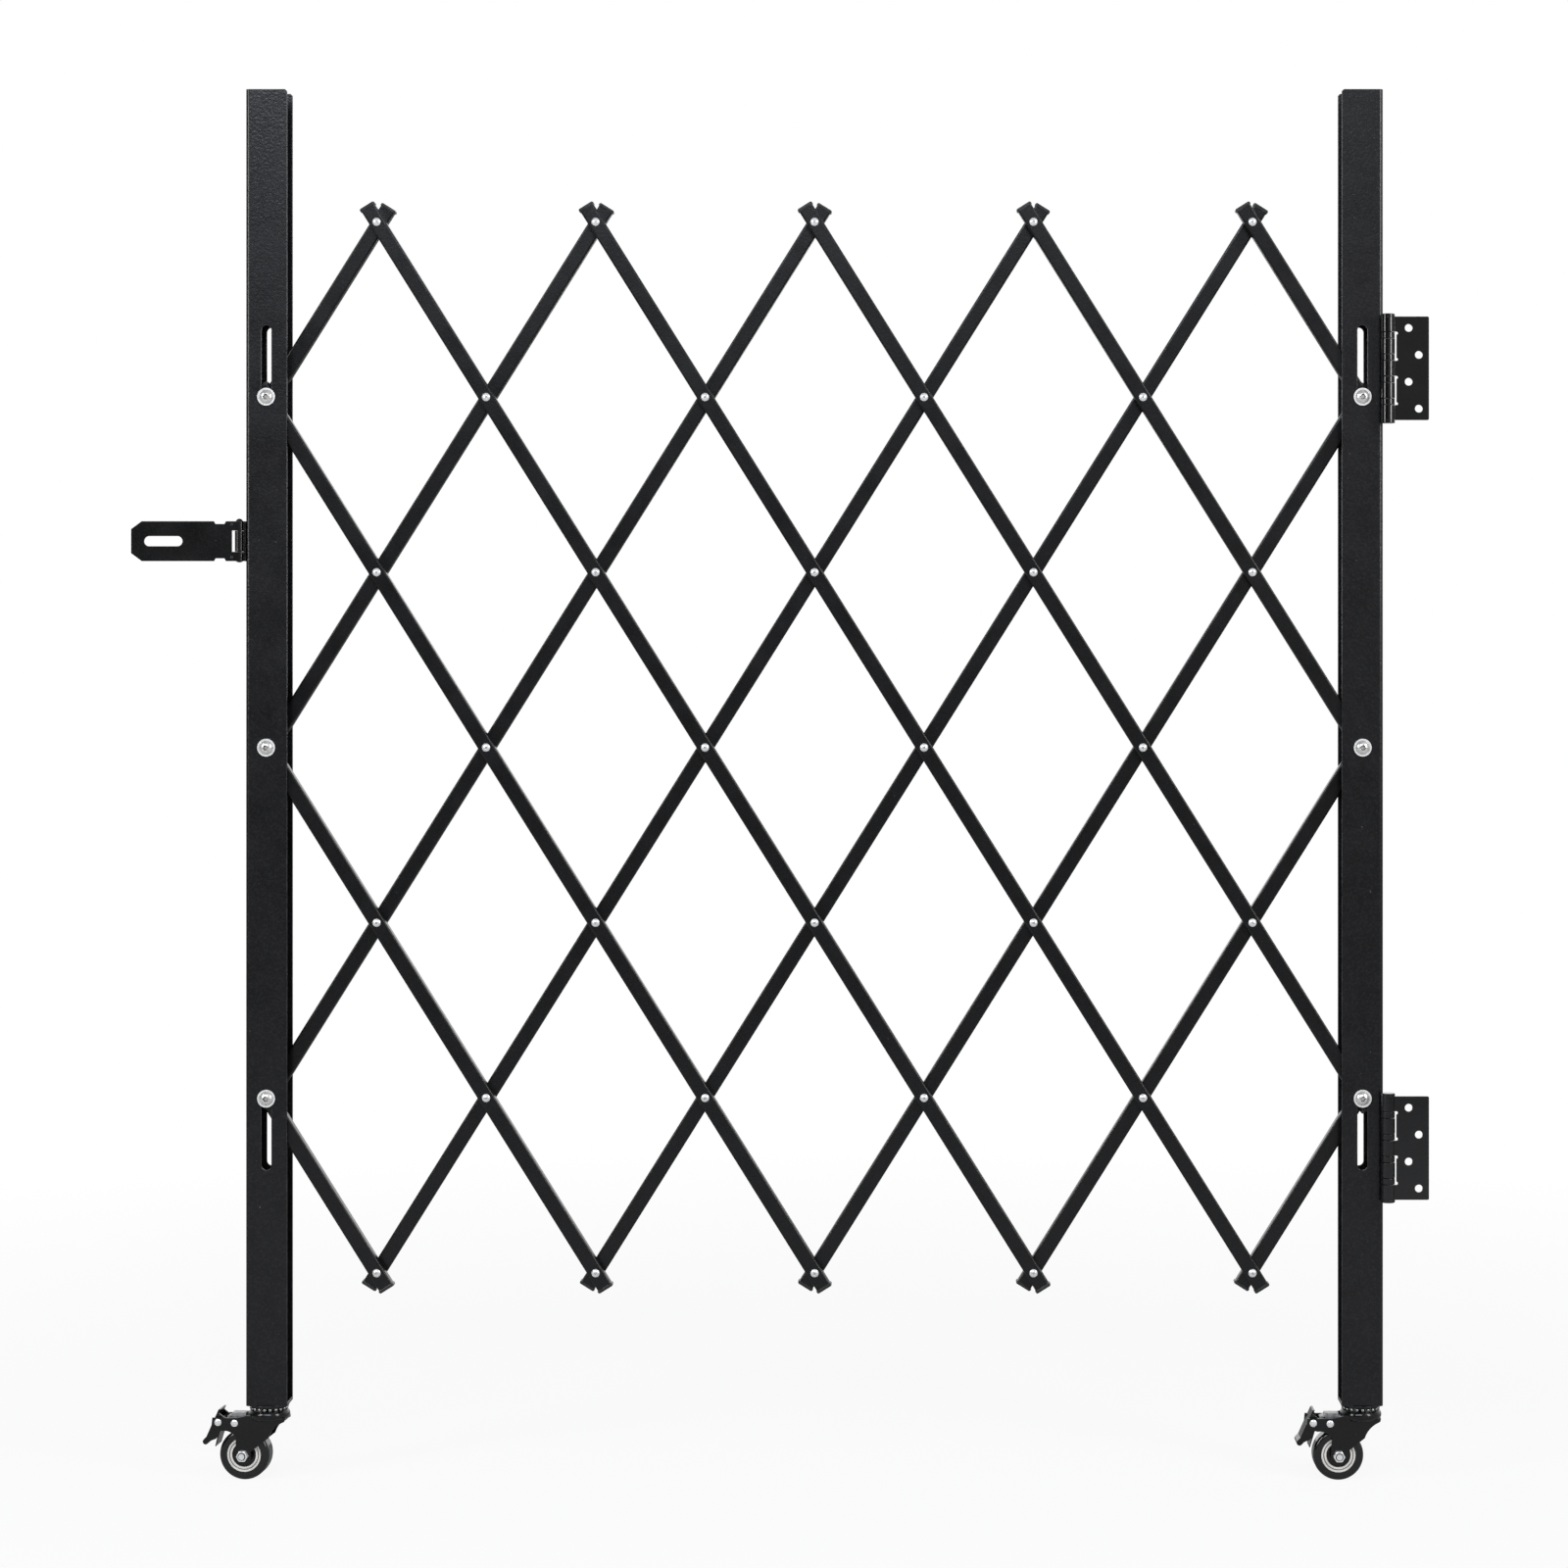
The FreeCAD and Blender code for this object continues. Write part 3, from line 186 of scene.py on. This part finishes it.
def mixed_colour(tree, factor, first, second):
    sides = [(*side, 1.0) if isinstance(side, tuple) else side for side in (first, second)]
    return mix(tree, "RGBA", factor, *sides)


def mixed_number(tree, factor, first, second):
    return mix(tree, "FLOAT", factor, first, second)


def rounded_edges(tree, radius):
    """Normals that roll over the sharp edges of a piece."""
    bevel = new_node(tree, "ShaderNodeBevel", Radius=radius)
    bevel.samples = EDGE_SAMPLES
    return bevel.outputs["Normal"]


def edge_mask(tree, rounded):
    """One on the rolled edges of a piece and zero on its faces."""
    geometry = tree.nodes.new("ShaderNodeNewGeometry")
    dot = tree.nodes.new("ShaderNodeVectorMath")
    dot.operation = "DOT_PRODUCT"
    tree.links.new(rounded, dot.inputs[0])
    tree.links.new(geometry.outputs["Normal"], dot.inputs[1])
    return spread(tree, dot.outputs["Value"], EDGE_SPAN, 0.0, 1.0)


def hollow_mask(tree, reach):
    """One deep in a hollow of a piece and zero on its open faces."""
    shade = new_node(tree, "ShaderNodeAmbientOcclusion", Distance=reach)
    shade.samples = HOLLOW_SAMPLES
    shade.only_local = True
    return spread(tree, shade.outputs["AO"], HOLLOW_SPAN, 0.0, 1.0)


def set_gloss(tree, shader, pattern, roughness, share):
    """Roughness that varies over a noise pattern, from the lower share of it to the higher."""
    gloss = built_up(tree, pattern, roughness * share[0], roughness * share[1])
    tree.links.new(gloss, shader.inputs["Roughness"])


def roughen(tree, shader, height, strength, depth, rounded):
    """Bumps on top of the rolled edges, for the surface and for its gloss coat."""
    node = new_node(tree, "ShaderNodeBump", Strength=strength, Distance=depth)
    tree.links.new(height, node.inputs["Height"])
    tree.links.new(rounded, node.inputs["Normal"])
    for socket in ("Normal", "Coat Normal"):
        tree.links.new(node.outputs["Normal"], shader.inputs[socket])


# Materials
def painted(name, colour, worn_and_sheen, roughness, coat, grain, edge, wear_and_sheen):
    """Black coat: a fine grain in tone and bump, cloudy gloss, pale specks, and paler edges that are partly
    worn paint and partly painted highlight.
    """
    material, tree, shader = new_material(name)
    lighter = scaled(colour, CLOUD_LIFT)
    pale = scaled(lighter, GRAIN_LIFT)
    cloud = built_up(tree, PAINT_CLOUD, 0.0, 1.0)
    grains = noise(tree, PAINT_GRAIN)
    paint = mixed_colour(tree, cloud, colour, lighter)
    paint = mixed_colour(tree, spread(tree, grains, PAINT_GRAIN.span, 0.0, grain), paint, pale)
    paint = mixed_colour(tree, built_up(tree, PAINT_SPECKS, 0.0, SPECK_STRENGTH), paint, worn_and_sheen)
    patches = built_up(tree, PAINT_WEAR_AND_SHEEN, LEAST_WEAR_AND_SHEEN * wear_and_sheen, wear_and_sheen)
    rounded = rounded_edges(tree, edge)
    # Paler edges: worn paint, and a painted highlight along the rolled edges.
    paint = mixed_colour(tree, times(tree, edge_mask(tree, rounded), patches), paint, worn_and_sheen)
    tree.links.new(paint, shader.inputs["Base Color"])
    set_gloss(tree, shader, PAINT_GLOSS, roughness, PAINT_GLOSS_RANGE)
    set_inputs(shader, Specular_IOR_Level=PAINT_SPECULAR)
    set_inputs(shader, Coat_Weight=coat, Coat_Roughness=COAT_ROUGHNESS * roughness)
    roughen(tree, shader, grains, GRAIN_BUMP * grain, GRAIN_DEPTH, rounded)
    return material


def bright_steel(name, colour, roughness, polish, scuffs, marks=0.05, hollow_shade=0.06):
    """Zinc plate: pale, partly matt, with fine turning marks, patches of grime, and painted shade deep in the
    hollows.
    """
    material, tree, shader = new_material(name)
    grime = built_up(tree, PLATE_GRIME, 0.0, scuffs)
    plate = mixed_colour(tree, grime, colour, scaled(colour, GRIME_TONE))
    # Painted shade: darker deep in the hollows.
    plate = mixed_colour(tree, hollow_mask(tree, HOLLOW), plate, scaled(colour, hollow_shade))
    tree.links.new(plate, shader.inputs["Base Color"])
    set_inputs(shader, Metallic=polish)
    set_gloss(tree, shader, PLATE_GLOSS, roughness, PLATE_GLOSS_RANGE)
    roughen(tree, shader, noise(tree, PLATE_MARKS), marks, PLATE_DEPTH, rounded_edges(tree, STEEL_EDGE))
    return material


def moulded(name, colour, roughness, coat):
    """Moulded black plastic or rubber with a faint grain."""
    material, tree, shader = new_material(name)
    cloud = built_up(tree, MOULDED_CLOUD, 0.0, 1.0)
    tone = mixed_colour(tree, cloud, colour, scaled(colour, MOULDED_LIFT))
    tree.links.new(tone, shader.inputs["Base Color"])
    set_gloss(tree, shader, MOULDED_GLOSS, roughness, MOULDED_GLOSS_RANGE)
    set_inputs(shader, Coat_Weight=coat, Coat_Roughness=MOULDED_COAT_ROUGHNESS)
    grains = noise(tree, MOULDED_GRAIN)
    roughen(tree, shader, grains, MOULDED_BUMP, MOULDED_DEPTH, rounded_edges(tree, MOULDED_EDGE))
    return material


POST_PAINT = painted("post_coat", colour=(0.0012, 0.0012, 0.0015), worn_and_sheen=(0.16, 0.16, 0.165),
                     roughness=0.36, coat=0.6, grain=0.9, edge=0.0015, wear_and_sheen=0.5)
BAR_PAINT = painted("bar_coat", colour=(0.0009, 0.0009, 0.0011), worn_and_sheen=(0.09, 0.09, 0.095),
                    roughness=0.34, coat=0.55, grain=0.4, edge=0.0010, wear_and_sheen=0.3)
HINGE_PAINT = painted("hinge_coat", colour=(0.0010, 0.0010, 0.0011), worn_and_sheen=(0.10, 0.10, 0.10),
                      roughness=0.14, coat=1.0, grain=0.2, edge=0.0005, wear_and_sheen=0.2)
HASP_PAINT = painted("hasp_coat", colour=(0.0012, 0.0012, 0.0013), worn_and_sheen=(0.14, 0.14, 0.14),
                     roughness=0.28, coat=0.5, grain=0.5, edge=0.0006, wear_and_sheen=0.3)
CASTER_PAINT = painted("caster_coat", colour=(0.0010, 0.0010, 0.0011), worn_and_sheen=(0.12, 0.12, 0.12),
                       roughness=0.22, coat=0.7, grain=0.4, edge=0.0008, wear_and_sheen=0.3)
# The plugs' strongly paled edges are a painted highlight along them, with some wear.
PLUG_PLASTIC = painted("plug_plastic", colour=(0.0080, 0.0080, 0.0085), worn_and_sheen=(0.30, 0.30, 0.30),
                       roughness=0.32, coat=0.6, grain=0.1, edge=0.0007, wear_and_sheen=1.0)
TYRE = moulded("tyre_rubber", colour=(0.002, 0.002, 0.002), roughness=0.20, coat=0.8)
CORE_PLASTIC = moulded("core_plastic", colour=(0.002, 0.002, 0.002), roughness=0.25, coat=0.5)
RIVET_STEEL = bright_steel("rivet_zinc", colour=(0.96, 0.96, 0.95),
                           roughness=0.28, polish=0.50, scuffs=0.3)
BOLT_STEEL = bright_steel("bolt_zinc", colour=(0.93, 0.91, 0.88),
                          roughness=0.24, polish=0.70, scuffs=0.3)
FLANGE_STEEL = bright_steel("flange_zinc", colour=(0.94, 0.94, 0.93),
                            roughness=0.35, polish=0.40, scuffs=0.1)
CASTER_STEEL = bright_steel("caster_zinc", colour=(0.96, 0.96, 0.95),
                            roughness=0.28, polish=0.45, scuffs=0.2)
BALL_STEEL = bright_steel("ball_steel", colour=(0.50, 0.50, 0.50),
                          roughness=0.12, polish=1.00, scuffs=0.4)
CATCH_ZINC = bright_steel("catch_zinc", colour=(0.60, 0.60, 0.60),
                          roughness=0.40, polish=0.60, scuffs=0.9)
RIM_METAL = bright_steel("rim_cream", colour=(0.96, 0.93, 0.88),
                         roughness=0.30, polish=0.25, scuffs=0.0, marks=0.01, hollow_shade=0.6)
# Painted shade: the rim's cream made darker for the walls of its groove.
RIM_GROOVE_SHADE = bright_steel("rim_groove_shade", colour=(0.55, 0.52, 0.48),
                          roughness=0.35, polish=0.40, scuffs=0.2, marks=0.01, hollow_shade=0.6)

# Nodes with one material, by the ending of their names
PLAIN = {
    "post": POST_PAINT,
    "foot_plate": POST_PAINT,
    "leaf": HINGE_PAINT,
    "hinge_pins": HINGE_PAINT,
    "hinge_bearing_rings": HINGE_PAINT,
    "hasp_strap": HASP_PAINT,
    "hasp_base": HASP_PAINT,
    "hasp_pin": HASP_PAINT,
    "hasp_rivets": HASP_PAINT,
    "rivets": RIVET_STEEL,
    "caster_mount": CASTER_PAINT,
    "caster_fork": CASTER_PAINT,
    "brake_pedal": CASTER_PAINT,
    "caster_balls": BALL_STEEL,
    "caster_fasteners": CASTER_STEEL,
    "caster_tyre": TYRE,
    "brake_catch": CATCH_ZINC,
}


# Dressing the pieces
def dress(node, *materials):
    """Give a node its materials, the first one on all its faces."""
    mesh = NODES[node].data
    mesh.materials.clear()
    for material in materials:
        mesh.materials.append(material)
    for face in mesh.polygons:
        face.material_index = 0
    return mesh


def dress_plain(node):
    ending = max((key for key in PLAIN if node.endswith(key)), key=len)
    dress(node, PLAIN[ending])


def dress_bar(node, side):
    """The tube is painted; its plugs, past the ends of the tube, are plastic."""
    mesh = dress(node, BAR_PAINT, PLUG_PLASTIC)
    along = Vector((side * math.sin(BAR_LEAN), 0.0, math.cos(BAR_LEAN)))
    heights = [along.dot(vertex.co) for vertex in mesh.vertices]
    low = min(heights) + PLUG_LIP + SMALL
    high = max(heights) - PLUG_LIP - SMALL
    for face in mesh.polygons:
        reach = [heights[index] for index in face.vertices]
        if max(reach) < low or min(reach) > high:
            face.material_index = 1


def dress_bolt(node):
    """The flange under the head is paler than the polished head."""
    mesh = dress(node, BOLT_STEEL, FLANGE_STEEL)
    low, high = (Vector(corner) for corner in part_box(node))
    middle = (low + high) / 2
    for face in mesh.polygons:
        offset = face.center - middle
        if math.hypot(offset.x, offset.z) > BOLT_HEAD_RADIUS + SMALL:
            face.material_index = 1


def dress_hub(node, joint):
    """A bright ring with painted shade on the walls of its groove, round a black core."""
    mesh = dress(node, CORE_PLASTIC, RIM_METAL, RIM_GROOVE_SHADE)
    centre = Vector(joint["pos_m"])
    axle = Vector(joint["axis"]).normalized()
    for face in mesh.polygons:
        offset = face.center - centre
        radius = (offset - axle * axle.dot(offset)).length
        if RIM_RING_INNER - SMALL < radius < RIM_RING_OUTER + SMALL:
            # The groove walls and the ring's inner wall take the painted shade.
            is_flat = abs(axle.dot(face.normal)) > RIM_FLAT
            face.material_index = 1 if is_flat else 2


def dress_gate():
    for node in NODES:
        if node.startswith("front_bar") and not node.endswith("rivets"):
            dress_bar(node, -1)
        elif node.startswith("back_bar"):
            dress_bar(node, 1)
        elif node.endswith("bolt"):
            dress_bolt(node)
        elif node.endswith("caster_hub"):
            dress_hub(node, JOINTS[node.replace("caster_hub", "wheel_spin")])
        else:
            dress_plain(node)


# Stage
def studio_world(fill, room_left, room_right):
    """White to the camera and behind the gate; the room in front, which the gate mirrors, is dimmer."""
    world = bpy.data.worlds.new("studio")
    bpy.context.scene.world = world
    world.use_nodes = True
    tree = world.node_tree
    direction = tree.nodes.new("ShaderNodeSeparateXYZ")
    tree.links.new(tree.nodes.new("ShaderNodeTexCoord").outputs["Generated"], direction.inputs["Vector"])
    room = spread(tree, direction.outputs["X"], ROOM_SPAN, room_left, room_right)
    behind = spread(tree, direction.outputs["Y"], BACK_SPAN, 0.0, 1.0)
    mirrored = mixed_number(tree, behind, room, 1.0)
    path = tree.nodes.new("ShaderNodeLightPath")
    strength = fill
    for ray, seen in (("Glossy", mirrored), ("Transmission", mirrored), ("Camera", 1.0)):
        strength = mixed_number(tree, path.outputs[f"Is {ray} Ray"], strength, seen)
    background = tree.nodes["Background"]
    set_inputs(background, Color=(*WHITE, 1.0))
    tree.links.new(strength, background.inputs["Strength"])


def floor_material(near, far, lift):
    """Pale paper that the camera sees lifted near the gate and plain white far from it."""
    material, tree, shader = new_material("studio_floor")
    set_inputs(shader, Roughness=FLOOR_ROUGHNESS)
    glow = new_node(tree, "ShaderNodeEmission", Strength=1.0)
    length = tree.nodes.new("ShaderNodeVectorMath")
    length.operation = "LENGTH"
    tree.links.new(object_place(tree), length.inputs[0])
    away = spread(tree, length.outputs["Value"], (near, far), lift, 1.0)
    path = tree.nodes.new("ShaderNodeLightPath")
    paper = mixed_colour(tree, path.outputs["Is Glossy Ray"], FLOOR_PAPER, FLOOR_MIRRORED)
    tree.links.new(paper, shader.inputs["Base Color"])
    share = times(tree, away, path.outputs["Is Camera Ray"])
    both = tree.nodes.new("ShaderNodeMixShader")
    tree.links.new(share, both.inputs["Fac"])
    tree.links.new(shader.outputs["BSDF"], both.inputs[1])
    tree.links.new(glow.outputs["Emission"], both.inputs[2])
    tree.links.new(both.outputs["Shader"], tree.nodes["Material Output"].inputs["Surface"])
    return material


def studio_floor(radius, near, far, lift):
    """A pale floor that keeps the gate's shadow and runs out into white; the gate mirrors it dimmer."""
    material = floor_material(near, far, lift)
    bpy.ops.mesh.primitive_circle_add(vertices=FLOOR_SIDES, radius=radius, fill_type="NGON")
    floor = bpy.context.object
    floor.name = "floor"
    floor.data.materials.append(material)


def lamp(name, place, target, size, power, colour=WHITE):
    """A rectangular softbox that faces its target."""
    light = bpy.data.lights.new(name, "AREA")
    light.shape = "RECTANGLE"
    light.size, light.size_y = size
    light.energy = power
    light.color = colour
    lamp_object = bpy.data.objects.new(name, light)
    bpy.context.scene.collection.objects.link(lamp_object)
    lamp_object.location = place
    lamp_object.rotation_euler = (Vector(target) - Vector(place)).to_track_quat("-Z", "Y").to_euler()


def camera():
    """Level and square to the gate; the shift, not a tilt, frames it as the photograph does."""
    data = bpy.data.cameras.new("camera")
    data.sensor_width = SENSOR
    data.lens = SENSOR * VIEW_DISTANCE / VIEW_WIDTH
    data.shift_x, data.shift_y = LENS_SHIFT
    camera_object = bpy.data.objects.new("camera", data)
    bpy.context.scene.collection.objects.link(camera_object)
    x = VIEW_CENTRE[0] - LENS_SHIFT[0] * VIEW_WIDTH
    z = VIEW_CENTRE[1] - LENS_SHIFT[1] * VIEW_WIDTH
    camera_object.location = (x, -VIEW_DISTANCE, z)
    camera_object.rotation_euler = (math.pi / 2, 0.0, 0.0)
    bpy.context.scene.camera = camera_object


def studio():
    bpy.context.scene.view_settings.view_transform = "Standard"
    camera()
    studio_world(fill=0.27, room_left=0.05, room_right=0.32)
    studio_floor(radius=30.0, near=0.9, far=2.2, lift=0.90)
    lamp("front_softbox", place=(-0.5, -3.2, 2.75), target=(0.0, 0.0, 1.2),
         size=(2.4, 1.2), power=57.0, colour=(0.84, 0.90, 1.0))
    for name, side in (("left_softbox", -1), ("right_softbox", 1)):
        lamp(name, place=(side * 2.3, -1.7, 1.8), target=(side * 0.5, 0.0, 1.1),
             size=(0.7, 1.8), power=30.0)


dress_gate()
studio()
